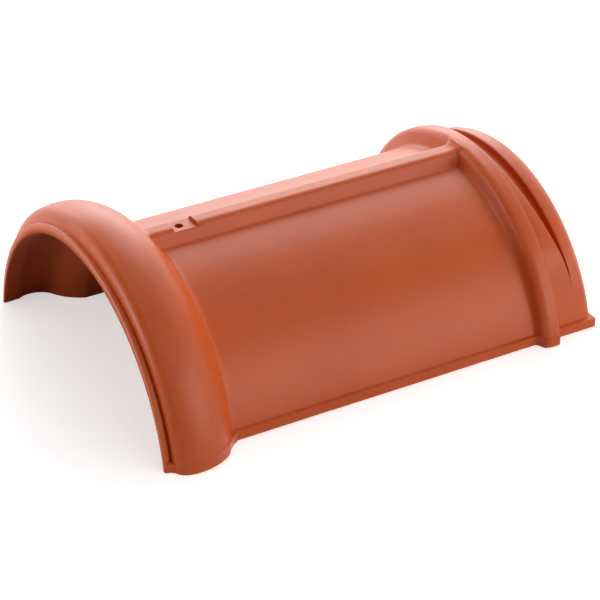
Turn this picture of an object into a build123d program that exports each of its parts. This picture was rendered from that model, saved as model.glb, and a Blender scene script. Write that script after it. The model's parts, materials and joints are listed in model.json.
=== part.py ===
from build123d import *
import os
from math import sqrt

os.makedirs("parts", exist_ok=True)

# Clay ridge tile, one fired piece, sizes in millimetres.
# It lies on its two feet with the ridge along X, the wide collar at -X and the crown up.
# Origin: middle of the foot plane under the bounding box.

# Overall length and the plain arched body; a drop is how far an arch's centre line lies below the feet
LENGTH = 400.0
BODY_RADIUS = 134.7
BODY_DROP = 27.5
WALL = 16.7
HOLLOW_DROP = 24.8

# Collar: a wide bead over the front end; stations from the front rim, rises over the body's radius
COLLAR_DROP = 18.9
BROW_X = 13.2
BROW_RISE = 22.2
CREST_X = 25.0
CREST_RISE = 23.4
BACK_X = 58.5
BACK_RISE = 6.3
TOE_X = 72.0
TOE_SINK = 12.5
COLLAR_FILLET = 6.0

# Rim strip round the mouth, parted from the bead by a small groove
STRIP_RISE = 11.2
STRIP_WIDTH = 5.4
STRIP_EDGE = 1.6
STRIP_GROOVE = 1.5
STEP_RISE = 16.6

# Hollow of the mouth: straight lip, pocket for the next tile's head, neck down to the body
MOUTH_RISE = 8.7
LIP_X = 13.0
POCKET_X = 26.5
POCKET_RISE = 11.7
SHOULDER_X = 39.6
SHOULDER_RISE = 4.5
THROAT_X = 50.5
THROAT_RISE = -9.6
NECK_X = 62.0
CORNER_ROUND = 3.0

# Stop rib near the rear end, stations from the rear end
RIB_FRONT_FROM_END = 61.4
RIB_BACK_FROM_END = 40.6
RIB_RISE = 14.8
RIB_DROP = 22.2
RIB_SINK = 4.0
RIB_BATTER = 8.2
RIB_FOOT_FILLET = 5.0
RIB_ROUND = 4.0

# Head behind the rib: a raised ring with leaning sides, a wedge-shaped groove and a rounded, lower end
HEAD_RISE = 11.2
HEAD_LEAN = 0.26
GROOVE_FROM_END = 37.6
GROOVE_LEAN = 0.24
GROOVE_BACK_FROM_END = 23.2
GROOVE_TIP_FROM_END = 19.2
GROOVE_TIP_HEIGHT = 40.5
GROOVE_FLOOR_RISE = 0.8
END_FLAT_FROM_END = 25.0
END_RISE = 6.4
END_ROUND_FROM_END = 17.0
END_BROW_FROM_END = 5.5
END_BROW_RISE = 1.2
END_FALL = 8.2

# Ridge band on the crown, from the collar to the stop rib
BAND_RISE = 11.6
BAND_TOP_HALF = 7.2
BAND_FOOT_HALF = 12.4
BAND_SHOULDER = 5.0
BAND_SAG = 1.0
BAND_ROOT = 8.0
BAND_END_FILLET = 3.0

# Nail seat: a level pocket across the band, with the nail hole through the wall
SEAT_X = 83.5
SEAT_LENGTH = 20.0
SEAT_DEPTH = 2.9
HOLE_X = 91.0
HOLE_DIAMETER = 7.0

# Strip along both feet
FOOT_HEIGHT = 8.0
FOOT_OUT = 1.2

# How far cutting bodies reach past the piece
REACH = 60.0

front = -LENGTH / 2
crown = BODY_RADIUS - BODY_DROP
rib_x = LENGTH - RIB_FRONT_FROM_END
rib_back = LENGTH - RIB_BACK_FROM_END
rib_radius = crown + RIB_RISE + RIB_DROP
rib_half = sqrt(rib_radius**2 - RIB_DROP**2)


def beside(drop):
    """Profile plane: local X runs from the front rim, local Y is the radius about the arch line."""
    return Plane(origin=(front, 0, -drop), x_dir=(1, 0, 0), z_dir=(0, -1, 0))


def arch_line(drop):
    """The straight line under the ridge that an arch is turned about."""
    return Axis((0, 0, -drop), (1, 0, 0))


def half_width(rise, drop):
    """Half the width on the ground of an arch that stands rise over the body's radius."""
    return sqrt((BODY_RADIUS + rise) ** 2 - drop**2)


# Head of the tile, shaped on its own before it joins the body
with BuildPart() as head:
    with BuildSketch(beside(BODY_DROP)):
        with Locations((rib_x + RIB_BATTER, 0)):
            Rectangle(
                LENGTH - rib_x - RIB_BATTER,
                BODY_RADIUS + HEAD_RISE,
                align=(Align.MIN, Align.MIN),
            )
    revolve(axis=arch_line(BODY_DROP))
    with BuildSketch(Plane.YZ):
        with BuildLine():
            Polyline(
                (-half_width(0, BODY_DROP), 0),
                (half_width(0, BODY_DROP), 0),
                (half_width(0, BODY_DROP) - HEAD_LEAN * (crown + REACH), crown + REACH),
                (HEAD_LEAN * (crown + REACH) - half_width(0, BODY_DROP), crown + REACH),
                close=True,
            )
        make_face()
    extrude(amount=LENGTH, both=True, mode=Mode.INTERSECT)

# Wedge-shaped groove of the head: leaning front wall, upright back wall, tips out towards the feet
groove_front = front + LENGTH - GROOVE_FROM_END
with BuildPart() as groove:
    with BuildSketch(Plane.XZ):
        with BuildLine():
            Polyline(
                (groove_front - GROOVE_LEAN * (REACH - HEAD_RISE), crown + REACH),
                (front + LENGTH - GROOVE_BACK_FROM_END, crown + REACH),
                (front + LENGTH - GROOVE_BACK_FROM_END, crown + HEAD_RISE),
                (front + LENGTH - GROOVE_TIP_FROM_END, GROOVE_TIP_HEIGHT),
                close=True,
            )
        make_face()
    extrude(amount=REACH + BODY_RADIUS, both=True)
    with BuildSketch(beside(BODY_DROP)):
        Rectangle(LENGTH, BODY_RADIUS + GROOVE_FLOOR_RISE, align=(Align.MIN, Align.MIN))
    revolve(axis=arch_line(BODY_DROP), mode=Mode.SUBTRACT)

# What is taken off round the end of the head, down to a rounded, lower end
with BuildPart() as end_round:
    with BuildSketch(beside(BODY_DROP)):
        with BuildLine():
            flat = Line(
                (LENGTH - END_FLAT_FROM_END, BODY_RADIUS + END_RISE),
                (LENGTH - END_ROUND_FROM_END, BODY_RADIUS + END_RISE),
            )
            bend = ThreePointArc(
                flat @ 1,
                (LENGTH - END_BROW_FROM_END, BODY_RADIUS + END_BROW_RISE),
                (LENGTH, BODY_RADIUS - END_FALL),
            )
            Polyline(
                bend @ 1,
                (LENGTH + REACH, BODY_RADIUS - END_FALL),
                (LENGTH + REACH, BODY_RADIUS + REACH),
                (LENGTH - END_FLAT_FROM_END, BODY_RADIUS + REACH),
                flat @ 0,
            )
        make_face()
    revolve(axis=arch_line(BODY_DROP))

# Inside of the arch: mouth with a slight lip, pocket for the next tile's head, neck, plain hollow
hollow_radius = BODY_RADIUS - WALL
with BuildPart() as hollow:
    with BuildSketch(beside(HOLLOW_DROP)):
        with BuildLine():
            pocket = Polyline(
                (-REACH, BODY_RADIUS + MOUTH_RISE),
                (LIP_X, BODY_RADIUS + MOUTH_RISE),
                (POCKET_X, BODY_RADIUS + POCKET_RISE),
                (SHOULDER_X, BODY_RADIUS + SHOULDER_RISE),
            )
            cheek = ThreePointArc(
                pocket @ 1,
                (THROAT_X, BODY_RADIUS + THROAT_RISE),
                (NECK_X, hollow_radius),
            )
            Polyline(
                cheek @ 1,
                (LENGTH + REACH, hollow_radius),
                (LENGTH + REACH, 0),
                (-REACH, 0),
                pocket @ 0,
            )
        make_face()
    revolve(axis=arch_line(HOLLOW_DROP))

with BuildPart() as tile:
    # Outside of the body: a plain round arch over the whole length
    with BuildSketch(beside(BODY_DROP)):
        Rectangle(LENGTH, BODY_RADIUS, align=(Align.MIN, Align.MIN))
    revolve(axis=arch_line(BODY_DROP))

    # Collar bead: blunt front with the rim strip, crest near the mouth, long back slope
    with BuildSketch(beside(COLLAR_DROP)):
        with BuildLine():
            nose = Polyline(
                (0, 0),
                (0, BODY_RADIUS + STRIP_RISE - STRIP_EDGE),
                (STRIP_EDGE, BODY_RADIUS + STRIP_RISE),
                (STRIP_WIDTH, BODY_RADIUS + STRIP_RISE),
                (STRIP_WIDTH + STRIP_GROOVE / 2, BODY_RADIUS + STRIP_RISE - STRIP_GROOVE),
                (STRIP_WIDTH + STRIP_GROOVE, BODY_RADIUS + STEP_RISE),
            )
            top = (CREST_X, BODY_RADIUS + CREST_RISE)
            brow = TangentArc(top, (BROW_X, BODY_RADIUS + BROW_RISE), tangent=(-1, 0))
            TangentArc(brow @ 1, nose @ 1, tangent=brow % 1)
            back = TangentArc(top, (BACK_X, BODY_RADIUS + BACK_RISE), tangent=(1, 0))
            Polyline(back @ 1, (TOE_X, BODY_RADIUS - TOE_SINK), (TOE_X, 0), (0, 0))
        make_face()
    revolve(axis=arch_line(COLLAR_DROP))
    toe = tile.edges().filter_by_position(Axis.X, front + BACK_X, front + TOE_X)
    fillet(toe, radius=COLLAR_FILLET)

    # Stop rib: a steep front face with a rounded edge on top
    with BuildSketch(beside(RIB_DROP)):
        with BuildLine():
            Polyline(
                (rib_x, 0),
                (rib_x, crown + RIB_DROP - RIB_SINK),
                (rib_x + RIB_BATTER, rib_radius),
                (rib_back, rib_radius),
                (rib_back, 0),
                close=True,
            )
        rib_face = make_face()
        fillet(rib_face.vertices().group_by(Axis.Z)[-1].sort_by(Axis.X)[0], radius=RIB_ROUND)
    revolve(axis=arch_line(RIB_DROP))
    bent = tile.edges().filter_by(GeomType.BSPLINE)
    fillet(bent.filter_by_position(Axis.X, front + rib_x, front + rib_back), radius=RIB_FOOT_FILLET)

    # Head with its groove and rounded end
    add(head.part)
    add(groove.part, mode=Mode.SUBTRACT)
    add(end_round.part, mode=Mode.SUBTRACT)

    # Ridge band: flat top, rounded shoulders, steep sides
    with BuildSketch(Plane(origin=(front + BACK_X, 0, 0), x_dir=(0, 1, 0), z_dir=(1, 0, 0))):
        with BuildLine():
            Polyline(
                (-BAND_FOOT_HALF, crown - BAND_ROOT),
                (-BAND_FOOT_HALF, crown - BAND_SAG),
                (-BAND_TOP_HALF, crown + BAND_RISE),
                (BAND_TOP_HALF, crown + BAND_RISE),
                (BAND_FOOT_HALF, crown - BAND_SAG),
                (BAND_FOOT_HALF, crown - BAND_ROOT),
                close=True,
            )
        band = make_face()
        fillet(band.vertices().group_by(Axis.Z)[-1], radius=BAND_SHOULDER)
    extrude(amount=rib_x + RIB_BATTER - BACK_X)
    meeting = tile.edges().filter_by_position(Axis.X, front + rib_x - RIB_SINK, front + rib_x + RIB_BATTER)
    meeting = meeting.filter_by_position(Axis.Y, -BAND_FOOT_HALF, BAND_FOOT_HALF)
    fillet(meeting.filter_by_position(Axis.Z, crown - BAND_ROOT, crown + RIB_RISE), radius=BAND_END_FILLET)

    split(bisect_by=Plane.XY, keep=Keep.TOP)

    # Strip along both feet: stands out a little round the outline on the ground
    with BuildSketch(Plane.XY):
        with BuildLine():
            swell = Spline(
                (front + STRIP_WIDTH, half_width(STRIP_RISE, COLLAR_DROP)),
                (front + BROW_X, half_width(BROW_RISE, COLLAR_DROP)),
                (front + CREST_X, half_width(CREST_RISE, COLLAR_DROP)),
                (front + BACK_X, half_width(BACK_RISE, COLLAR_DROP) + FOOT_OUT),
                (front + TOE_X, half_width(0, BODY_DROP) + FOOT_OUT),
                tangents=((1, 1), (1, 0)),
            )
            Polyline(
                swell @ 1,
                (front + rib_x, half_width(0, BODY_DROP) + FOOT_OUT),
                (front + rib_x + RIB_BATTER, rib_half),
                (front + rib_back, rib_half),
                (front + rib_back + RIB_ROUND, half_width(0, BODY_DROP) + FOOT_OUT),
                (front + LENGTH, half_width(0, BODY_DROP) + FOOT_OUT),
                (front + LENGTH, 0),
                (front + STRIP_WIDTH, 0),
                swell @ 0,
            )
        make_face()
        mirror(about=Plane.XZ)
    extrude(amount=FOOT_HEIGHT)

    # The arch is hollow from end to end
    add(hollow.part, mode=Mode.SUBTRACT)

    # Nail seat across the band, and the nail hole
    with Locations((front + SEAT_X, 0, crown + BAND_RISE - SEAT_DEPTH)):
        Box(
            SEAT_LENGTH,
            2 * BAND_FOOT_HALF,
            SEAT_DEPTH + REACH,
            align=(Align.MIN, Align.CENTER, Align.MIN),
            mode=Mode.SUBTRACT,
        )
    with Locations((front + HOLE_X, 0, crown + BAND_RISE - SEAT_DEPTH)):
        Hole(HOLE_DIAMETER / 2, WALL + BAND_RISE)

    # The mouth's lower corners are worn round
    corners = tile.edges().filter_by_position(Axis.X, front, front).filter_by_position(Axis.Z, 0, 0)
    fillet(corners, radius=CORNER_ROUND)

tile.part.label = "ridge_tile"
export_step(tile.part, "parts/ridge_tile.step")
print(tile.part.bounding_box(), tile.part.volume, len(tile.part.solids()), tile.part.is_valid)
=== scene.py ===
# %% [markdown]
# # A clay ridge tile
#
# A ridge tile covers the top edge of a pitched roof. It is one piece of clay: pressed in a mould,
# coated with a thin clay slip called an engobe, and fired. The wide collar at one end overlaps the
# narrower, grooved head of the next tile. A flat band runs along the crown and carries the nail hole.
#
# This lesson loads the measured solid as a fixed frame, builds a finer surface over it with Geometry
# Nodes, gives it a fired clay finish, and sets it on a pale studio floor.

# %% Load the measured frame
import json
from math import cos, pi, radians, sin, sqrt

import bpy
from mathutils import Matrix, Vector
from mathutils.bvhtree import BVHTree
from mathutils.geometry import interpolate_bezier

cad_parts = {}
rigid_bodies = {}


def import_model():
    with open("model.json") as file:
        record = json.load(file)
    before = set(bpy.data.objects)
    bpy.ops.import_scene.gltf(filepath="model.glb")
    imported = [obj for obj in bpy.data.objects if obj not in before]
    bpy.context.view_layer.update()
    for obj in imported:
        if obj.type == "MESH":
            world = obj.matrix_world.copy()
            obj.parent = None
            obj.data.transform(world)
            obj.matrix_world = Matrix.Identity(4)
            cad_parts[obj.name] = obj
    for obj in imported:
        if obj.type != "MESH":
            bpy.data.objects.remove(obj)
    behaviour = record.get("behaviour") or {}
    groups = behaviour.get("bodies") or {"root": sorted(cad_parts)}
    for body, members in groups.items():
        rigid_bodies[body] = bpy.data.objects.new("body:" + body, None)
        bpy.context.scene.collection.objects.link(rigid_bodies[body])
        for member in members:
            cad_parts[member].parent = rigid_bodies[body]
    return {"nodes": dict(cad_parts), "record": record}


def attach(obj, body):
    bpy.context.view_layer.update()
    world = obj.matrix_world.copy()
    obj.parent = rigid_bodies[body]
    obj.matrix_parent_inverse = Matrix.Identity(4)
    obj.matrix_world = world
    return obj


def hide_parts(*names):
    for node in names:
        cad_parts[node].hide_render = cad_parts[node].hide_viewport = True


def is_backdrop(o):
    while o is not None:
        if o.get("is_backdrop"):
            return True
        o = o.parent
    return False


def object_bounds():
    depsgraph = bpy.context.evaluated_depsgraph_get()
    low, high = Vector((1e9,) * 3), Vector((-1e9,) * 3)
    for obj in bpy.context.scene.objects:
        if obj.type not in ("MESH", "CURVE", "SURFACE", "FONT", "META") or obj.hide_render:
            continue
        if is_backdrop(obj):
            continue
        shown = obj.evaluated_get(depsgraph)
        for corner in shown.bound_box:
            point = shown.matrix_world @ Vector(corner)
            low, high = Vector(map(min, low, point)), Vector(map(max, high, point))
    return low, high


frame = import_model()
cad_box = [list(corner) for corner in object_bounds()]
nail = frame["record"]["mounts"][0]
print("frame box in metres:", cad_box)

# %% [markdown]
# ## How the tile is ruled
#
# Cut across anywhere, the tile is a round arch that ends on the ground. Two lines are therefore enough
# to draw it: the ridge line, which is the side profile along the crown, and the foot line, which is the
# outline on the ground. Every cross section is the one arc through its point of the ridge line and its
# point of the foot line. The same rule bends the collar, the body, the stop rib and the head.
#
# It could be sculpted or cut from cylinders, but a ruled sheet keeps even quads that follow every edge,
# so the satin surface shows clean highlights. Sizes here are in millimetres, as a tile maker gives them.

# %% Sizes of the tile in millimetres
LENGTH = 400.0
BODY_RADIUS = 134.7
BODY_DROP = 27.5
HOLLOW_DROP = 24.8
HOLLOW_INSET = 16.7
COLLAR_DROP = 18.9
RIB_DROP = 22.2
RIB_RISE = 9.5
CROWN = BODY_RADIUS - BODY_DROP
BODY_HALF = sqrt(BODY_RADIUS**2 - BODY_DROP**2)
BAND_TOP = 118.8
SEAT_FLOOR = 115.9
HEAD_TOP = 118.4
HEAD_LEAN = 0.26
FOOT_STRIP = 1.2
print(f"crown of the body at {CROWN:.1f} mm, body half as wide as {BODY_HALF:.1f} mm")


# %% [markdown]
# ## Helpers
#
# A station is one column of the sheet. It holds a point of the ridge line and a point of the foot line.
# `arch` gives both for an arch of known radius, and `through` draws the round parts of a profile as an
# arc through three points, which is how a profile gauge is read off a real tile.

# %% Station and arc helpers
def arch(x, rise, drop, **marks):
    """A station: crown height and foot half-width of an arch that stands rise over the body's radius."""
    radius = BODY_RADIUS + rise
    return dict(ridge=(x, radius - drop), foot=(x, sqrt(radius**2 - drop**2)), **marks)


def through(p, q, r, steps):
    """Points of the arc that passes through p, q and r."""
    p, q, r = Vector(p), Vector(q), Vector(r)
    a, b = q - p, r - p
    cross = 2 * (a.x * b.y - a.y * b.x)
    centre = p + Vector((b.y * a.length_squared - a.y * b.length_squared,
                         a.x * b.length_squared - b.x * a.length_squared)) / cross
    turn = (p - centre).angle_signed(r - centre)
    start = p - centre
    points = []
    for step in range(steps + 1):
        angle = -turn * step / steps
        points.append(centre + Vector((start.x * cos(angle) - start.y * sin(angle),
                                       start.x * sin(angle) + start.y * cos(angle))))
    return points


def paired(ridge_line, foot_line):
    """Stations that take their ridge points from one curve and their foot points from another."""
    return [dict(ridge=tuple(a)[:2], foot=tuple(b)[:2]) for a, b in zip(ridge_line, foot_line)]


def between(first, last, steps):
    """Stations spaced evenly from one to another, without the two ends."""
    made = []
    for step in range(1, steps):
        share = step / steps
        ridge = tuple(a + (b - a) * share for a, b in zip(first["ridge"], last["ridge"]))
        foot = tuple(a + (b - a) * share for a, b in zip(first["foot"], last["foot"]))
        made.append(dict(first, ridge=ridge, foot=foot))
    return made


print("a station of the body:", arch(LENGTH / 2, 0.0, BODY_DROP))


# %% [markdown]
# ## The collar and its toe
#
# The collar is a bead: a flat rim strip at the mouth, a steep nose, a crest and a long round back that
# runs down onto the body. Between strip and nose a groove opens towards the feet and closes at the crown.
# A revolved profile could not do that. A station can, because its crown and its foot are two points of
# their own: `uneven` gives each its own place and rise. The toe is a fillet that starts a little sooner at
# the foot than at the crown, drawn as one curve for each.

# %% Collar stations
def uneven(crown, foot, **marks):
    """A collar station whose crown and foot have a place and a rise of their own."""
    return dict(arch(*crown, COLLAR_DROP), foot=arch(*foot, COLLAR_DROP)["foot"], **marks)


outside = [
    arch(0.0, 8.9, COLLAR_DROP, wear=1.0),
    arch(0.0, 10.2, COLLAR_DROP, wear=1.0),
    arch(0.1, 10.7, COLLAR_DROP, wear=1.0),
    arch(0.4, 11.1, COLLAR_DROP, wear=1.0),
    arch(1.0, 11.3, COLLAR_DROP, wear=0.8),
    uneven((3.2, 11.3), (4.4, 11.2), wear=0.5),
    uneven((3.7, 11.2), (5.0, 10.9), wear=0.3),
    uneven((3.9, 11.2), (5.3, 10.1)),
    uneven((4.0, 11.3), (5.6, 9.0)),
    uneven((4.2, 11.4), (6.0, 8.7)),
    uneven((4.3, 11.8), (6.4, 9.0)),
    uneven((4.4, 12.5), (6.6, 10.5)),
    uneven((4.6, 13.8), (6.8, 12.6)),
]
nose_crown = through((4.9, 15.2), (7.6, 19.9), (13.2, 22.3), 9)
nose_foot = through((7.0, 14.4), (9.4, 18.7), (13.2, 21.4), 9)
outside += [uneven(a, b) for a, b in zip(nose_crown, nose_foot)]
brow_crown = through((13.2, 22.3), (19.1, 23.2), (25.0, 23.4), 4)
brow_foot = through((13.2, 21.4), (19.1, 23.0), (25.0, 23.4), 4)
outside += [uneven(a, b) for a, b in zip(brow_crown[1:], brow_foot[1:])]
back = through((25.0, 23.4), (43.8, 18.9), (58.5, 6.3), 16)
outside += [arch(x, rise, COLLAR_DROP) for x, rise in back[1:]]

toe_ridge = interpolate_bezier((67.4, 109.7), (68.6, 108.0), (70.2, CROWN), (73.0, CROWN), 9)
toe_foot = interpolate_bezier((62.3, 134.4), (63.5, 132.7), (65.2, BODY_HALF), (68.0, BODY_HALF), 9)
toe = paired(toe_ridge, toe_foot)
outside += between(outside[-1], toe[0], 5) + toe
print(f"collar: {len(outside)} stations, crest {max(s['ridge'][1] for s in outside):.1f} mm high")

# %% [markdown]
# ## The body and the nail seat
#
# The plain body needs few stations, but a flat sheet only shows a step where its lines are close. So
# two stations stand a third of a millimetre apart at each end of the nail seat, the level pocket that is
# pressed across the band for the head of the nail.

# %% Body stations
SEAT_START = 83.5
SEAT_END = 103.5
WALL_GAP = 0.35
BODY_STEPS = 48
BODY_STEP = 4.8

body = []
for x in (76.0, 79.5, 82.0, SEAT_START - WALL_GAP):
    body.append(arch(x, 0.0, BODY_DROP))
for x in (SEAT_START, 85.0, 88.0, 91.0, 94.0, 97.0, 100.0, 102.0, SEAT_END):
    body.append(arch(x, 0.0, BODY_DROP, ceiling=SEAT_FLOOR))
for step in range(BODY_STEPS):
    body.append(arch(SEAT_END + WALL_GAP + BODY_STEP * step, 0.0, BODY_DROP))
body += [arch(x, 0.0, BODY_DROP) for x in (332.5, 335.0)]
outside += body
print(f"body: {len(body)} stations to x = {body[-1]['ridge'][0]:.1f} mm")

# %% [markdown]
# ## The stop rib
#
# The next tile's collar butts against this rib, so its front face is steep. It leans back a little, or the
# tile would not leave the mould, and a fillet joins it to the body, tighter at the feet than at the crown.
# Behind its crest the rib runs down softly onto the head. Curves of the ridge line and of the foot line
# are drawn apart again, because the two do not turn at the same place.

# %% Rib stations
rib_foot_ridge = interpolate_bezier((336.6, CROWN), (339.2, CROWN), (340.7, 108.0), (341.7, 110.2), 8)
rib_foot_foot = interpolate_bezier(
    (341.0, BODY_HALF), (342.2, BODY_HALF), (342.9, 133.1), (343.6, 134.9), 8)
rib = paired(rib_foot_ridge, rib_foot_foot)
crest_line = through((344.8, 5.0), (347.4, 8.1), (352.4, RIB_RISE), 9)
rib_crest = [arch(x, rise, RIB_DROP) for x, rise in crest_line]
rib += between(rib[-1], rib_crest[0], 4) + rib_crest
rear_ridge = interpolate_bezier((354.0, 122.0), (357.5, 122.0), (359.0, 121.4), (360.8, 121.0), 10)
rear_line = through((355.8, RIB_RISE), (357.8, 9.4), (359.4, 8.9), 9)
rib += paired(rear_ridge, [arch(x, rise, RIB_DROP)["foot"] for x, rise in rear_line])
outside += rib
print(f"rib: {len(rib)} stations, crest {rib_crest[-1]['ridge'][1]:.1f} mm high")

# %% [markdown]
# ## The head and its wedge groove
#
# Behind the rib the head stays raised, and a wedge-shaped groove runs round it: wide at the crown and
# pointed near the feet, so that rain that gets under the collar drains to both sides. The groove's front
# wall leans back as it goes down, and its rear wall hardly leans. Cutting it with a boolean would leave
# ragged quads, so the stations themselves lean: `front_wall` and `rear_wall` say how far each one follows
# the two walls. The very end is rounded over, where it slides under the next collar.

# %% Head stations
GROOVE_FRONT = 362.4
GROOVE_REAR = 376.8
GROOVE_FLOOR = 0.8
FRONT_SLOPE = 0.255
REAR_SLOPE = 0.07
LIP = 0.45
HEAD_FOOT_START = 359.5
HEAD_CROWN_START = 361.0
END_START = 383.0

ring = ((0.0, 10.4, 120.9), (0.3, 10.6, 120.7), (0.6, 10.9, 120.5), (0.85, 11.2, 120.1), (1.0, 11.2, 119.4))
groove = ((0.02, 9.0), (0.04, 5.0), (0.07, 2.2), (0.14, 1.0), (0.3, GROOVE_FLOOR), (0.5, GROOVE_FLOOR),
          (0.7, GROOVE_FLOOR), (0.9, 0.9), (0.96, 1.6), (0.98, 3.2), (1.0, 5.2))
head = []
for share, rise, top in ring:
    foot_x = HEAD_FOOT_START + (GROOVE_FRONT - HEAD_FOOT_START) * share
    crown_x = HEAD_CROWN_START + (GROOVE_FRONT - HEAD_CROWN_START) * share
    station = arch(foot_x, rise, BODY_DROP, lean=1.0, front_wall=share)
    head.append(dict(station, ridge=(crown_x, top)))
for share, rise in groove:
    x = GROOVE_FRONT + (GROOVE_REAR - GROOVE_FRONT) * share
    head.append(arch(x, rise, BODY_DROP, lean=1.0, front_wall=1.0 - share, rear_wall=share, groove=1.0))
for share, rise in ((0.0, 6.0), (0.12, 6.3), (0.4, 6.4), (0.7, 6.4)):
    x = GROOVE_REAR + LIP + (END_START - GROOVE_REAR - LIP) * share
    head.append(arch(x, rise, BODY_DROP, lean=1.0, rear_wall=1.0 - share))
end_line = through((END_START, 6.4), (394.5, 1.2), (399.4, -6.8), 16)
head += [arch(x, rise, BODY_DROP, lean=1.0) for x, rise in end_line]
head += [
    arch(399.8, -7.7, BODY_DROP, lean=1.0, wear=1.0),
    arch(400.0, -8.6, BODY_DROP, lean=1.0, wear=1.0),
]
outside += head
print(f"head: {len(head)} stations, {len(outside)} along the whole outside")

# %% [markdown]
# ## The hollow
#
# Inside, the mouth has a straight lip, a pocket that takes the next tile's head, and a neck down to the
# plain hollow. Each inside station stands under an outside one, so the two sheets can be sewn together
# at both ends and along both feet with plain quads.

# %% Inside stations under the outside ones
MOUTH_RIM = 1.0
END_RIM = 0.5

inner_line = [(-1.0, 9.4), (0.0, 9.4), (0.8, 8.7), (11.0, 8.7)]
inner_line += [tuple(p) for p in through((13.0, 8.7), (26.5, 11.7), (39.6, 4.5), 24)]
inner_line += [tuple(p) for p in through((39.6, 4.5), (50.5, -9.6), (62.0, -HOLLOW_INSET), 20)[1:]]
inner_line += [(LENGTH - 0.7, -HOLLOW_INSET), (LENGTH, -16.2), (LENGTH + 1, -16.2)]


def inside_rise(x):
    """How far the hollow stands over the body's radius at x, read off the inner line."""
    for (x0, r0), (x1, r1) in zip(inner_line, inner_line[1:]):
        if x0 <= x <= x1:
            return r0 + (r1 - r0) * (x - x0) / (x1 - x0)


inside = []
for station in outside:
    x = station["ridge"][0]
    rim = 1.0 if x < MOUTH_RIM or x > LENGTH - END_RIM else 0.0
    inside.append(arch(x, inside_rise(x), HOLLOW_DROP, wear=rim, hidden=1.0))
middle = len(outside) // 2
print(f"wall on the crown {outside[middle]['ridge'][1] - inside[middle]['ridge'][1]:.1f} mm thick")

# %% [markdown]
# ## The rows of the sheet
#
# Rows run the other way, from foot to foot. Three things decide where they lie. Near the crown they keep
# a fixed distance from the middle, so the band's edges stay straight. Near the feet they keep a fixed
# height, so the strip along the foot stays level. In between they share out the arc evenly.

# %% Rows from foot to foot
BAND_FLAT = 3.85
BAND_SHOULDER = 5.0
SIDE_START = 8.47
SIDE_FOOT = (12.4, 106.2)
BAND_END = 338.5
MIDDLE_ROWS = 70
CROWN_EDGE = 16.0
FOOT_EDGE = 12.0
FOOT_WEAR = 2.0


def band_height(y):
    """Height of the ridge band over the ground at a distance y from the middle."""
    if y <= BAND_FLAT:
        return BAND_TOP
    if y <= SIDE_START:
        return BAND_TOP - BAND_SHOULDER + sqrt(BAND_SHOULDER**2 - (y - BAND_FLAT) ** 2)
    side = BAND_TOP - BAND_SHOULDER + sqrt(BAND_SHOULDER**2 - (SIDE_START - BAND_FLAT) ** 2)
    return side + (SIDE_FOOT[1] - side) * (y - SIDE_START) / (SIDE_FOOT[0] - SIDE_START)


crown_rows = (0.0, 1.4, 2.8, 3.8, 4.6, 5.4, 6.1, 6.8, 7.4, 8.0, 8.6, 9.3, 10.1, 10.9, 11.6, 12.2, 12.7, 13.3,
              14.3)
half_rows = []
for y in crown_rows:
    half_rows.append(dict(cross=y, fall=0.0, lift=FOOT_EDGE, band=True))
for step in range(MIDDLE_ROWS + 1):
    half_rows.append(dict(cross=CROWN_EDGE, fall=step / MIDDLE_ROWS, lift=FOOT_EDGE))
for z in (10.4, 9.4, 8.8, 8.3):
    half_rows.append(dict(cross=CROWN_EDGE, fall=1.0, lift=z))
for z in (7.8, 6.5, 4.5, 2.5, 1.0, 0.0):
    half_rows.append(dict(cross=CROWN_EDGE, fall=1.0, lift=z, strip=1.0, wear=1.0 if z < FOOT_WEAR else 0.0))
near_side = [dict(row, side=-1.0) for row in reversed(half_rows[1:])]
far_side = [dict(row, side=1.0) for row in half_rows]
rows = near_side + far_side
print(f"{len(rows)} rows, {len(outside)} stations outside and as many inside")

# %% [markdown]
# ## The flat sheet
#
# The sheet itself is plain mesh data: one vertex for each station and row, on the outside and on the
# inside, with its numbers stored as attributes. It is still flat here, like a pattern cut from paper.

# %% Numbers that every vertex carries
COLLAR_OUTLINE = ((3.0, 143.0), (4.8, 146.4), (9.9, 150.7), (15.8, 154.6), (23.0, 156.6), (28.3, 156.5),
                  (36.9, 155.3), (41.5, 153.9), (47.2, 151.4), (53.7, 147.1), (58.8, 140.9), (63.1, 136.3),
                  (68.0, 133.9))
STRIP_START = 60.0
STRIP_UNDER = 1.0
STRIP_OVER = 9.0
CURL_END = 348.0
BAND_FLARE = 4.0
BAND_CURL = 3.1
BAND_REACH = (50.0, 349.0)
FAR_OFF = 1000.0


def strip_half(station):
    """Half-width that the strip along the foot reaches at a station, or nothing inside the tile."""
    x, half = station["foot"]
    if "hidden" in station:
        return 0.0
    for (x0, half0), (x1, half1) in zip(COLLAR_OUTLINE, COLLAR_OUTLINE[1:]):
        if x0 <= x < x1:
            return half0 + (half1 - half0) * (x - x0) / (x1 - x0)
    if "lean" in station:
        return BODY_HALF + FOOT_STRIP
    if x <= STRIP_START:
        return 0.0
    beside = BODY_HALF - STRIP_UNDER < half < BODY_HALF + STRIP_OVER
    return max(half, BODY_HALF) + (FOOT_STRIP if beside else 0.0)


def band_at(x, y):
    """Height of the band at a station: towards the rib it curls up and flares out."""
    near = min(1.0, max(0.0, (x - BAND_END) / (CURL_END - BAND_END)))
    return band_height(max(0.0, y - BAND_FLARE * near**3)) + BAND_CURL * near**2


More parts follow.
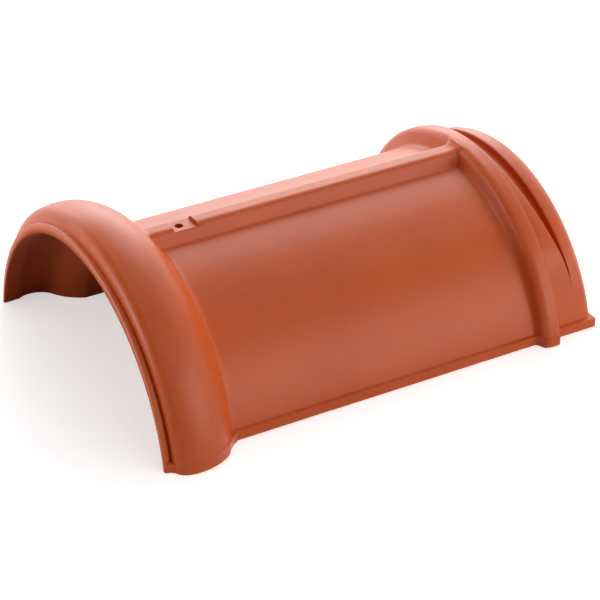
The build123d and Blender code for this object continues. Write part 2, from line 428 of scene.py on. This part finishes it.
def vertex_numbers(station, row):
    """The attributes of one vertex of the sheet."""
    x, crown = station["ridge"]
    in_reach = BAND_REACH[0] < x < BAND_REACH[1]
    carries_band = "hidden" not in station and "band" in row and in_reach
    wall_marks = [station.get(mark, 0.0) for mark in ("front_wall", "rear_wall", "groove")]
    return {
        "ridge": (x, 0.0, crown),
        "foot": (station["foot"][0], station["foot"][1], 0.0),
        "row": (row["cross"], row["fall"], row["lift"]),
        "walls": tuple(wall_marks),
        "side": row["side"],
        "lean": station.get("lean", 0.0),
        "band": band_at(x, row["cross"]) if carries_band else -FAR_OFF,
        "ceiling": station.get("ceiling", FAR_OFF),
        "strip": strip_half(station) * row.get("strip", 0.0),
        "wear": max(station.get("wear", 0.0), row.get("wear", 0.0)),
        "hidden": station.get("hidden", 0.0),
    }


# %% Sew the sheet together
columns = outside + inside
numbers = [vertex_numbers(station, row) for station in columns for row in rows]
across = len(rows)
along = len(outside)


def outer(c, r):
    return c * across + r


def inner(c, r):
    return (along + c) * across + r


faces = []
for c in range(along - 1):
    for r in range(across - 1):
        faces.append((outer(c, r), outer(c + 1, r), outer(c + 1, r + 1), outer(c, r + 1)))
        faces.append((inner(c, r), inner(c, r + 1), inner(c + 1, r + 1), inner(c + 1, r)))
    last = across - 1
    faces.append((outer(c, 0), inner(c, 0), inner(c + 1, 0), outer(c + 1, 0)))
    faces.append((outer(c, last), outer(c + 1, last), inner(c + 1, last), inner(c, last)))
end = along - 1
for r in range(across - 1):
    faces.append((outer(0, r), outer(0, r + 1), inner(0, r + 1), inner(0, r)))
    faces.append((outer(end, r + 1), outer(end, r), inner(end, r), inner(end, r + 1)))

sheet = bpy.data.meshes.new("tile_sheet")
sheet.from_pydata([(n["ridge"][0], n["row"][1], n["hidden"]) for n in numbers], [], faces)
for name, sample in numbers[0].items():
    if isinstance(sample, tuple):
        layer = sheet.attributes.new(name, "FLOAT_VECTOR", "POINT")
        layer.data.foreach_set("vector", [part for n in numbers for part in n[name]])
    else:
        layer = sheet.attributes.new(name, "FLOAT", "POINT")
        layer.data.foreach_set("value", [n[name] for n in numbers])
tile = bpy.data.objects.new("clay_ridge_tile", sheet)
bpy.context.scene.collection.objects.link(tile)
print(f"flat sheet: {len(sheet.vertices)} vertices, {len(sheet.polygons)} quads")


# %% [markdown]
# ## One function for nodes
#
# Both the shape and the finish are node trees, so one small function adds any node: its settings are
# keyword arguments, and `feeds` gives each input a value, a socket, or a node whose first output is used.

# %% Add a node
def add(tree, kind, feeds=None, **settings):
    """Adds a node with its settings, and fills or links its inputs."""
    node = tree.nodes.new(kind)
    node.location = (190 * (len(tree.nodes) % 12), -220 * (len(tree.nodes) // 12))
    for name, value in settings.items():
        setattr(node, name, value)
    for place, feed in (feeds or {}).items():
        if isinstance(feed, bpy.types.Node):
            feed = next(socket for socket in feed.outputs if socket.enabled)
        if isinstance(feed, bpy.types.NodeSocket):
            tree.links.new(feed, node.inputs[place])
        else:
            node.inputs[place].default_value = feed
    return node


# %% [markdown]
# ## Bending the sheet: the arch
#
# The tree first finds each station's arc. A circle through the ridge point at height h and the foot at
# half-width w has the radius (h² + w²) / 2h, and its centre lies radius minus h below the ground. The
# row then says at which angle the vertex sits on that arc.

# %% The tree and its named inputs
bend = bpy.data.node_groups.new("bend_ridge_tile", "GeometryNodeTree")
bend.interface.new_socket("Sheet", in_out="INPUT", socket_type="NodeSocketGeometry")
inputs = {}
for name, kind, value in (
    ("Nail hole radius", "NodeSocketFloat", nail["dims"]["r_mm"]),
    ("Chip depth", "NodeSocketFloat", 0.55),
    ("Waviness", "NodeSocketFloat", 0.10),
    ("Seed", "NodeSocketFloat", 7.0),
    ("Clay", "NodeSocketMaterial", None),
):
    inputs[name] = (bend.interface.new_socket(name, in_out="INPUT", socket_type=kind), value)
bend.interface.new_socket("Tile", in_out="OUTPUT", socket_type="NodeSocketGeometry")
given = add(bend, "NodeGroupInput")

read = {}
for name, sample in numbers[0].items():
    kind = "FLOAT_VECTOR" if isinstance(sample, tuple) else "FLOAT"
    read[name] = add(bend, "GeometryNodeInputNamedAttribute", {0: name}, data_type=kind)
ridge = add(bend, "ShaderNodeSeparateXYZ", {0: read["ridge"]})
foot = add(bend, "ShaderNodeSeparateXYZ", {0: read["foot"]})
row = add(bend, "ShaderNodeSeparateXYZ", {0: read["row"]})
walls = add(bend, "ShaderNodeSeparateXYZ", {0: read["walls"]})
print(f"tree inputs: {', '.join(inputs)}")

# %% Each station's arc
h, w = ridge.outputs["Z"], foot.outputs["Y"]
squares = add(bend, "ShaderNodeMath", {0: h, 1: h}, operation="MULTIPLY")
squares = add(bend, "ShaderNodeMath", {0: w, 1: w, 2: squares}, operation="MULTIPLY_ADD")
twice = add(bend, "ShaderNodeMath", {0: h, 1: 2.0}, operation="MULTIPLY")
radius = add(bend, "ShaderNodeMath", {0: squares, 1: twice}, operation="DIVIDE", label="arc radius")
drop = add(bend, "ShaderNodeMath", {0: radius, 1: h}, operation="SUBTRACT", label="centre below ground")
print(f"{len(bend.nodes)} nodes read the sheet and find the arc")

# %% Where the row sits on the arc
near_crown = add(bend, "ShaderNodeMath", {0: row.outputs["X"], 1: radius}, operation="DIVIDE")
near_crown = add(bend, "ShaderNodeMath", {0: near_crown}, operation="ARCSINE", label="angle of a crown row")
near_foot = add(bend, "ShaderNodeMath", {0: drop, 1: row.outputs["Z"]}, operation="ADD")
near_foot = add(bend, "ShaderNodeMath", {0: near_foot, 1: radius}, operation="DIVIDE")
near_foot = add(bend, "ShaderNodeMath", {0: near_foot}, operation="ARCCOSINE", label="angle of a foot row")
angle = add(bend, "ShaderNodeMapRange", {0: row.outputs["Y"], 3: near_crown, 4: near_foot}, label="angle")
sine = add(bend, "ShaderNodeMath", {0: angle}, operation="SINE")
cosine = add(bend, "ShaderNodeMath", {0: angle}, operation="COSINE")
out = add(bend, "ShaderNodeMath", {0: radius, 1: sine},
          operation="MULTIPLY", label="distance from the middle")
up = add(bend, "ShaderNodeMath", {0: radius, 1: cosine}, operation="MULTIPLY")
up = add(bend, "ShaderNodeMath", {0: up, 1: drop}, operation="SUBTRACT", label="height")
along_x = add(bend, "ShaderNodeMapRange",
              {0: up, 1: 0.0, 2: h, 3: foot.outputs["X"], 4: ridge.outputs["X"]},
              label="place along the tile")
print(f"{len(bend.nodes)} nodes with the arch")

# %% [markdown]
# ## Bending the sheet: head, band, seat and foot
#
# The head's sides lean in, so every point's distance from the middle is held under a slanting limit. The
# groove's stations slide along X with the height of the vertex. Where the two walls would meet, the floor
# comes up again, which makes the point of the wedge. Smooth maximum and minimum give the small soft
# fillets that pressed clay always has.

# %% Leaning sides of the head
SIDE_SOFTNESS = 8.0

limit = add(bend, "ShaderNodeMath", {0: up, 1: -HEAD_LEAN, 2: BODY_HALF},
            operation="MULTIPLY_ADD", label="slanting limit")
free = add(bend, "ShaderNodeMapRange", {0: read["lean"], 3: FAR_OFF, 4: 0.0})
held = add(bend, "ShaderNodeMath", {0: limit, 1: free}, operation="ADD")
leaned = add(bend, "ShaderNodeMath", {0: out, 1: held, 2: SIDE_SOFTNESS},
             operation="SMOOTH_MIN", label="leaning side")
print(f"the head's sides lean in by {HEAD_LEAN} mm for each mm of height")

# %% The wedge groove
GROOVE_WIDTH = GROOVE_REAR - GROOVE_FRONT
LEAST_WIDTH = 0.3
TIP_BELOW = 4.0
TIP_ABOVE = 6.0
TIP_HEIGHT = HEAD_TOP - (GROOVE_WIDTH - LEAST_WIDTH) / (FRONT_SLOPE - REAR_SLOPE)
above_tip = add(bend, "ShaderNodeMath", {0: up, 1: TIP_HEIGHT}, operation="MAXIMUM")
down = add(bend, "ShaderNodeMath", {0: HEAD_TOP, 1: above_tip},
           operation="SUBTRACT", label="way down the groove")
slide = add(bend, "ShaderNodeMath", {0: walls.outputs["X"], 1: FRONT_SLOPE}, operation="MULTIPLY")
slide = add(bend, "ShaderNodeMath", {0: walls.outputs["Y"], 1: REAR_SLOPE, 2: slide},
            operation="MULTIPLY_ADD")
placed = add(bend, "ShaderNodeMath", {0: slide, 1: down, 2: along_x},
             operation="MULTIPLY_ADD", label="slid along")

closing = add(bend, "ShaderNodeMapRange",
              {0: up, 1: TIP_HEIGHT - TIP_BELOW, 2: TIP_HEIGHT + TIP_ABOVE, 3: 1.0, 4: 0.0},
              interpolation_type="SMOOTHSTEP", label="groove closes")
closing = add(bend, "ShaderNodeMath", {0: closing, 1: walls.outputs["Z"]}, operation="MULTIPLY")
leaned = add(bend, "ShaderNodeMapRange", {0: closing, 3: leaned, 4: limit}, label="floor comes up")
print(f"the wedge is {GROOVE_WIDTH:.1f} mm wide at the crown, its point {TIP_HEIGHT:.0f} mm over the ground")

# %% Band, nail seat and foot strip
BAND_SOFTNESS = 1.2
SEAT_SOFTNESS = 0.5
MILLIMETRE = 0.001

raised = add(bend, "ShaderNodeMath", {0: up, 1: read["band"], 2: BAND_SOFTNESS},
             operation="SMOOTH_MAX", label="ridge band")
seated = add(bend, "ShaderNodeMath", {0: raised, 1: read["ceiling"], 2: SEAT_SOFTNESS},
             operation="SMOOTH_MIN", label="nail seat")
footed = add(bend, "ShaderNodeMath", {0: leaned, 1: read["strip"]}, operation="MAXIMUM", label="foot strip")
sided = add(bend, "ShaderNodeMath", {0: footed, 1: read["side"]}, operation="MULTIPLY")
centred = add(bend, "ShaderNodeMath", {0: placed, 1: LENGTH / 2}, operation="SUBTRACT")
point = add(bend, "ShaderNodeCombineXYZ", {0: centred, 1: sided, 2: seated})
metres = add(bend, "ShaderNodeVectorMath", {0: point, 3: MILLIMETRE},
             operation="SCALE", label="millimetres to metres")
bent = add(bend, "GeometryNodeSetPosition", {0: given.outputs["Sheet"], 2: metres})
print(f"{len(bend.nodes)} nodes bend the sheet")

# %% [markdown]
# ## Traces of making
#
# A pressed tile is not perfect. Its faces wave by a tenth of a millimetre, which softens every highlight,
# and its sharp rims lose small chips when the mould opens and when tiles are stacked. Both are a push
# along the normal, driven by noise: a slow one everywhere, and a quick one only where `wear` is high.

# %% Waves and chips
WAVE_SIZE = 90
CHIP_SIZE = 6
CHIP_START = 0.55
CHIP_FULL = 0.75


def per_metre(millimetres):
    """Noise scale for features of a real size, on coordinates that are in metres."""
    return 1000.0 / millimetres


here = add(bend, "GeometryNodeInputPosition")
slow = add(bend, "ShaderNodeTexNoise",
           {"Vector": here, "W": given.outputs["Seed"], "Scale": per_metre(WAVE_SIZE), "Detail": 1.0},
           noise_dimensions="4D")
wave = add(bend, "ShaderNodeMath", {0: slow, 1: 0.5}, operation="SUBTRACT")
wave = add(bend, "ShaderNodeMath", {0: wave, 1: given.outputs["Waviness"]}, operation="MULTIPLY")
quick = add(bend, "ShaderNodeTexNoise",
            {"Vector": here, "W": given.outputs["Seed"], "Scale": per_metre(CHIP_SIZE), "Detail": 2.0},
            noise_dimensions="4D")
chip = add(bend, "ShaderNodeMapRange", {0: quick, 1: CHIP_START, 2: CHIP_FULL},
           interpolation_type="SMOOTHSTEP")
chip = add(bend, "ShaderNodeMath", {0: chip, 1: read["wear"]}, operation="MULTIPLY")
chip = add(bend, "ShaderNodeMath", {0: chip, 1: given.outputs["Chip depth"]}, operation="MULTIPLY")
push = add(bend, "ShaderNodeMath", {0: wave, 1: chip}, operation="SUBTRACT", label="push in millimetres")
print(f"{len(bend.nodes)} nodes with the waves and chips")

# %% Push the surface, but keep the feet on the ground
GROUND_GAP = 0.0005

facing = add(bend, "GeometryNodeInputNormal")
full = add(bend, "ShaderNodeVectorMath", {0: facing, 1: push}, operation="MULTIPLY")
full = add(bend, "ShaderNodeVectorMath", {0: full, 3: MILLIMETRE}, operation="SCALE")
level = add(bend, "ShaderNodeVectorMath", {0: full, 1: (1.0, 1.0, 0.0)},
            operation="MULTIPLY", label="ground stays level")
above = add(bend, "ShaderNodeSeparateXYZ", {0: here})
lifted = add(bend, "FunctionNodeCompare", {0: above.outputs["Z"], 1: GROUND_GAP},
             data_type="FLOAT", operation="GREATER_THAN")
chosen = add(bend, "GeometryNodeSwitch", {0: lifted, 1: level, 2: full}, input_type="VECTOR")
fired = add(bend, "GeometryNodeSetPosition", {0: bent, 3: chosen})
print(f"vertices under {GROUND_GAP * 1000} mm move only sideways")

# %% Nail hole, smoothing and finish
DRILL_SIDES = 48
DRILL_LENGTH = 60.0
SHARP_DEGREES = 42

drill = add(bend, "GeometryNodeMeshCylinder",
            {"Vertices": DRILL_SIDES, "Radius": given.outputs["Nail hole radius"], "Depth": DRILL_LENGTH})
hole_place = [metre * 1000 for metre in nail["pos_m"]]
drill = add(bend, "GeometryNodeTransform", {"Geometry": drill, "Translation": hole_place})
drill = add(bend, "GeometryNodeTransform", {"Geometry": drill, "Scale": [MILLIMETRE] * 3})
holed = add(bend, "GeometryNodeMeshBoolean", {"Mesh 1": fired, "Mesh 2": drill},
            operation="DIFFERENCE", solver="EXACT")
smooth = add(bend, "GeometryNodeSetShadeSmooth", {0: holed})
edge_angle = add(bend, "GeometryNodeInputMeshEdgeAngle")
sharp = add(bend, "FunctionNodeCompare", {0: edge_angle, 1: radians(SHARP_DEGREES)},
            data_type="FLOAT", operation="GREATER_THAN")
creased = add(bend, "GeometryNodeSetShadeSmooth", {0: smooth, 1: sharp, 2: False}, domain="EDGE")
whole = add(bend, "GeometryNodeRealizeInstances", {0: creased})
coated = add(bend, "GeometryNodeSetMaterial", {"Geometry": whole, "Material": given.outputs["Clay"]})
add(bend, "NodeGroupOutput", {0: coated})
print(f"{len(bend.nodes)} nodes in all")


# %% [markdown]
# ## The finish: satin engobe on fired clay
#
# Engobe is a thin coat of fine coloured clay that is sprayed on before firing. It fires to a dense skin
# with a satin sheen, closer to an eggshell than to a glaze, and it is not quite even: it clouds over a
# hand's width, it is a little paler where it ran thin over an edge, and the iron in the clay leaves fine
# dark specks. The inside is bare clay, duller and rougher. Every pattern scale comes from a real size.

# %% Colours
def colour(hex_code):
    """An sRGB hex colour as the linear colour that Blender works in."""
    parts = [int(hex_code[start:start + 2], 16) / 255 for start in (1, 3, 5)]
    return (*[part / 12.92 if part <= 0.04045 else ((part + 0.055) / 1.055) ** 2.4 for part in parts], 1.0)


ENGOBE = colour("#C85213")
ENGOBE_DEEP = colour("#C04B10")
ENGOBE_THIN = colour("#CD6428")
BARE_CLAY = colour("#A04218")
IRON_SPECK = colour("#6A2A18")
print("engobe as linear colour:", [round(part, 3) for part in ENGOBE])


# %% Sizes of the pattern in millimetres, depth of the grain in metres, shares and roughness
CLOUD_SIZE = 70
MOTTLE_SIZE = 4
SPECK_SIZE = 1.6
GRAIN_SIZE = 0.9
GRAIN_DEPTH = 0.0001
MOTTLE_SHARE = 0.28
WORN_SHARE = 0.45
SPECK_SHARE = 0.35
SATIN = (0.33, 0.43)
BARE_ROUGHNESS = 0.95
CLAY_IOR = 1.4


def empty_tree(owner):
    """Gives a material or a world a node tree with nothing in it."""
    owner.use_nodes = True
    owner.node_tree.nodes.clear()
    return owner.node_tree


print(f"clouds {CLOUD_SIZE} mm, mottling {MOTTLE_SIZE} mm, specks {SPECK_SIZE} mm, grain {GRAIN_SIZE} mm")


# %% Satin engobe on fired clay
clay = bpy.data.materials.new("satin_engobe_on_fired_clay")
tree = empty_tree(clay)
spot = add(tree, "ShaderNodeTexCoord").outputs["Object"]
wear = add(tree, "ShaderNodeAttribute", attribute_name="wear").outputs["Fac"]
bare = add(tree, "ShaderNodeAttribute", attribute_name="hidden").outputs["Fac"]

clouds = add(tree, "ShaderNodeTexNoise",
             {"Vector": spot, "Scale": per_metre(CLOUD_SIZE), "Detail": 3.0, "Roughness": 0.5})
clouds = add(tree, "ShaderNodeMapRange", {0: clouds, 1: 0.35, 2: 0.65})
coat = add(tree, "ShaderNodeMix", {"Factor": clouds, 6: ENGOBE_DEEP, 7: ENGOBE}, data_type="RGBA")
mottle = add(tree, "ShaderNodeTexNoise",
             {"Vector": spot, "Scale": per_metre(MOTTLE_SIZE), "Detail": 4.0, "Roughness": 0.6})
mottle = add(tree, "ShaderNodeMapRange", {0: mottle, 1: 0.3, 2: 0.8, 3: 0.0, 4: MOTTLE_SHARE})
coat = add(tree, "ShaderNodeMix", {"Factor": mottle, 6: coat.outputs[2], 7: ENGOBE_THIN}, data_type="RGBA")
thin = add(tree, "ShaderNodeMath", {0: wear, 1: WORN_SHARE}, operation="MULTIPLY")
coat = add(tree, "ShaderNodeMix", {"Factor": thin, 6: coat.outputs[2], 7: ENGOBE_THIN}, data_type="RGBA")
coat = add(tree, "ShaderNodeMix", {"Factor": bare, 6: coat.outputs[2], 7: BARE_CLAY}, data_type="RGBA")
specks = add(tree, "ShaderNodeTexNoise", {"Vector": spot, "Scale": per_metre(SPECK_SIZE), "Detail": 1.0})
specks = add(tree, "ShaderNodeMapRange", {0: specks, 1: 0.72, 2: 0.80, 3: 0.0, 4: SPECK_SHARE})
coat = add(tree, "ShaderNodeMix", {"Factor": specks, 6: coat.outputs[2], 7: IRON_SPECK}, data_type="RGBA")

grain = add(tree, "ShaderNodeTexNoise",
            {"Vector": spot, "Scale": per_metre(GRAIN_SIZE), "Detail": 3.0, "Roughness": 0.6})
rough = add(tree, "ShaderNodeMapRange", {0: grain, 1: 0.3, 2: 0.7, 3: SATIN[0], 4: SATIN[1]})
rough = add(tree, "ShaderNodeMapRange", {0: bare, 3: rough, 4: BARE_ROUGHNESS})
bump = add(tree, "ShaderNodeBump", {"Strength": 0.25, "Distance": GRAIN_DEPTH, "Height": grain})
skin = add(tree, "ShaderNodeBsdfPrincipled",
           {"Base Color": coat.outputs[2], "Roughness": rough, "IOR": CLAY_IOR, "Normal": bump})
add(tree, "ShaderNodeOutputMaterial", {"Surface": skin})
print(f"{clay.name}: {len(tree.nodes)} nodes")

# %% Run the tree, then keep its result as a plain mesh
modifier = tile.modifiers.new("bend", "NODES")
modifier.node_group = bend
for name, (socket, value) in inputs.items():
    modifier[socket.identifier] = clay if name == "Clay" else value
graph = bpy.context.evaluated_depsgraph_get()
shaped = bpy.data.meshes.new_from_object(
    tile.evaluated_get(graph), preserve_all_data_layers=True, depsgraph=graph)
tile.modifiers.clear()
tile.data = shaped
shaped.name = "clay_ridge_tile"
for name in set(numbers[0]) - {"wear", "hidden"}:
    shaped.attributes.remove(shaped.attributes[name])
triangles = sum(len(polygon.vertices) - 2 for polygon in shaped.polygons)
print(f"tile: {len(shaped.vertices)} vertices, {triangles} triangles")

# %% [markdown]
# ## Checking against the frame
#
# The finer surface must lie on the measured solid. A lookup tree over the solid's triangles gives the
# distance from every vertex of the tile to the nearest point of the solid.

# %% Distance from the measured solid
solid = frame["nodes"]["ridge_tile"].data
lookup = BVHTree.FromPolygons([v.co for v in solid.vertices], [tuple(p.vertices) for p in solid.polygons])
away = sorted((lookup.find_nearest(vertex.co)[3] * 1000, tuple(vertex.co)) for vertex in shaped.vertices)
print(f"half of the vertices lie within {away[len(away) // 2][0]:.2f} mm of the solid, "
      f"99 in 100 within {away[len(away) * 99 // 100][0]:.2f} mm, all within {away[-1][0]:.2f} mm")
print("furthest vertex:", [round(metre * 1000, 1) for metre in away[-1][1]])

# %% Put the tile in the solid's place
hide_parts("ridge_tile")
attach(tile, "root")
print(f"{tile.name} stands for the solid ridge_tile")

# %% [markdown]
# ## Studio
#
# The tile lies on a pale floor under soft light. Square panels stand round it and over it, each with a
# brightness of its own, and the floor throws some light back onto the lower sides. One big lamp would be
# simpler, but a satin surface mirrors what stands round it, so its look depends on light from all sides.
#
# Floor and world look white to the camera, and in mirrored and passing rays. To the scattered rays that
# light the clay they are weaker, so the background turns white without more light on the clay. The floor
# keeps the tile's shadow.

# %% Rays that see the background
def background_rays(tree):
    """1 for rays from the camera and for mirrored or passing rays, 0 for the rays that light the tile."""
    path = add(tree, "ShaderNodeLightPath")
    seen = add(tree, "ShaderNodeMath", {0: path.outputs["Is Camera Ray"], 1: path.outputs["Is Glossy Ray"]},
               operation="MAXIMUM")
    return add(tree, "ShaderNodeMath", {0: seen, 1: path.outputs["Is Transmission Ray"]},
               operation="MAXIMUM")


# %% Floor
FLOOR_REACH = 1.4
FLOOR_GLOW = 0.55

corners = [(-1, -1), (1, -1), (1, 1), (-1, 1)]
floor_mesh = bpy.data.meshes.new("floor")
floor_mesh.from_pydata([(x * FLOOR_REACH, y * FLOOR_REACH, 0) for x, y in corners], [], [(0, 1, 2, 3)])
floor = bpy.data.objects.new("floor", floor_mesh)
bpy.context.scene.collection.objects.link(floor)
floor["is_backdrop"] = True

paper = bpy.data.materials.new("matte_white_paper")
tree = empty_tree(paper)
seen = background_rays(tree)
matte = add(tree, "ShaderNodeBsdfDiffuse", {"Color": colour("#EEEEEE")})
lift = add(tree, "ShaderNodeMath", {0: seen, 1: FLOOR_GLOW}, operation="MULTIPLY")
glow = add(tree, "ShaderNodeEmission", {"Strength": lift})
both = add(tree, "ShaderNodeAddShader", {0: matte, 1: glow})
add(tree, "ShaderNodeOutputMaterial", {"Surface": both})
floor_mesh.materials.append(paper)
print(f"floor {2 * FLOOR_REACH} m wide")


# %% Panels: azimuth and elevation in degrees, brightness, side in metres
PANEL_DISTANCE = 1.9

panels = {
    "back_panel": (60, 20, 4.2, 1.0),
    "back_left_panel": (90, 20, 2.5, 1.0),
    "far_left_panel": (120, 20, 1.6, 1.0),
    "left_panel": (150, 15, 1.4, 1.25),
    "low_left_panel": (168, 8, 7.5, 0.65),
    "right_panel": (30, 20, 1.1, 1.0),
    "right_front_panel": (335, 18, 0.6, 1.25),
    "front_right_panel": (303, 15, 2.8, 1.25),
    "front_panel": (270, 20, 0.6, 1.0),
    "high_panel": (50, 50, 3.2, 1.0),
    "high_right_panel": (0, 50, 1.2, 1.0),
    "high_front_panel": (270, 50, 0.8, 1.0),
    "top_panel": (0, 90, 0.9, 1.0),
}
aim = Vector((0.0, 0.0, 0.05))
for name, (azimuth, elevation, brightness, size) in panels.items():
    ray = Vector((cos(radians(elevation)) * cos(radians(azimuth)),
                  cos(radians(elevation)) * sin(radians(azimuth)),
                  sin(radians(elevation))))
    light = bpy.data.lights.new(name, "AREA")
    light.shape = "SQUARE"
    light.size = size
    light.energy = pi * size**2 * brightness
    lamp = bpy.data.objects.new(name, light)
    lamp.location = aim + ray * PANEL_DISTANCE
    lamp.rotation_euler = (-ray).to_track_quat("-Z", "Y").to_euler()
    bpy.context.scene.collection.objects.link(lamp)
print(f"{len(panels)} panels, {PANEL_DISTANCE} m from the tile")

# %% World
WORLD_LIGHT = 0.03

world = bpy.data.worlds.new("studio")
tree = empty_tree(world)
seen = background_rays(tree)
strength = add(tree, "ShaderNodeMapRange", {0: seen, 3: WORLD_LIGHT, 4: 1.0})
air = add(tree, "ShaderNodeBackground", {"Color": (1, 1, 1, 1), "Strength": strength})
add(tree, "ShaderNodeOutputWorld", {"Surface": air})
bpy.context.scene.world = world
bpy.context.scene.view_settings.view_transform = "Standard"
print(f"a world that looks white and lights the tile with {WORLD_LIGHT}")

# %% [markdown]
# ## Camera
#
# A long lens from 31 degrees above the ground, off the tile's collar end, shows the mouth, the whole
# near side and the groove at the head.

# %% Camera
view = bpy.data.cameras.new("camera")
view.sensor_width = 36.0
view.lens = 158.99
camera = bpy.data.objects.new("camera", view)
camera.location = (-0.92974, -1.60256, 1.12346)
camera.rotation_euler = (radians(59.13), 0.0, radians(-30.12))
bpy.context.scene.collection.objects.link(camera)
bpy.context.scene.camera = camera
print(f"camera {camera.location.length:.2f} m away, lens {view.lens:.0f} mm")

# %% [markdown]
# ## Size
#
# The finished surface should fill the same box as the measured solid, so both boxes are printed.

# %% Print both boxes
boxes = {"cad": cad_box, "visual": [list(corner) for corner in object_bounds()]}
for name, (low, high) in boxes.items():
    print(name, [round((b - a) * 1000, 1) for a, b in zip(low, high)], "mm")
